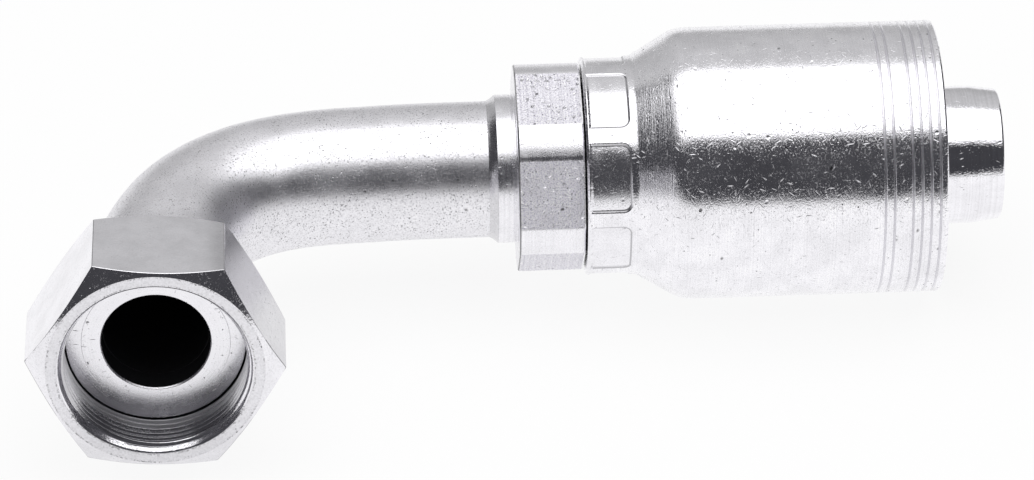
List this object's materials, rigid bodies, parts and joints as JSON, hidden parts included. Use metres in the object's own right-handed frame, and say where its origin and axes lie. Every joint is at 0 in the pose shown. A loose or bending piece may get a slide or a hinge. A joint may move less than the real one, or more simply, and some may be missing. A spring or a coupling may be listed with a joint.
{
  "type": "ninety degree hydraulic hose coupling",
  "caption": "Bent tube hydraulic coupling: a swivel nut over a flat seal nose on one end, a barbed stem inside a crimp ferrule for the hose on the other.",
  "frame": {"origin": "centre of the flat seal face, on the swivel nut's axis", "axes": "-Y out of the swivel nut's mouth, +X along the hose end away from the bend, +Z square to the plane of the two axes"},
  "size_m": [0.2701, 0.1373, 0.0762],
  "materials": {
    "nut_plating": "bright zinc plate, fine grain",
    "nose_plating": "bright zinc plate, fine turned face",
    "tube_plating": "bright zinc plate, drawn tube",
    "braze": "plated braze fillet, satin",
    "stem_plating": "bright zinc plate, milled flats",
    "ferrule_plating": "bright zinc plate, turned, with small dents and scratches"
  },
  "bodies": {
    "coupling": {"face_seal_nose": "nose_plating", "nose_braze": "braze", "elbow_tube": "tube_plating", "stem_braze": "braze", "hose_stem": "stem_plating", "crimp_ferrule": "ferrule_plating"},
    "swivel": {"swivel_nut": "nut_plating"}
  },
  "joints": [
    {"name": "nut_spin", "type": "hinge", "parent": "coupling", "child": "swivel", "pos_m": [0, 0, 0], "axis": [0, -1, 0], "continuous": true}
  ]
}
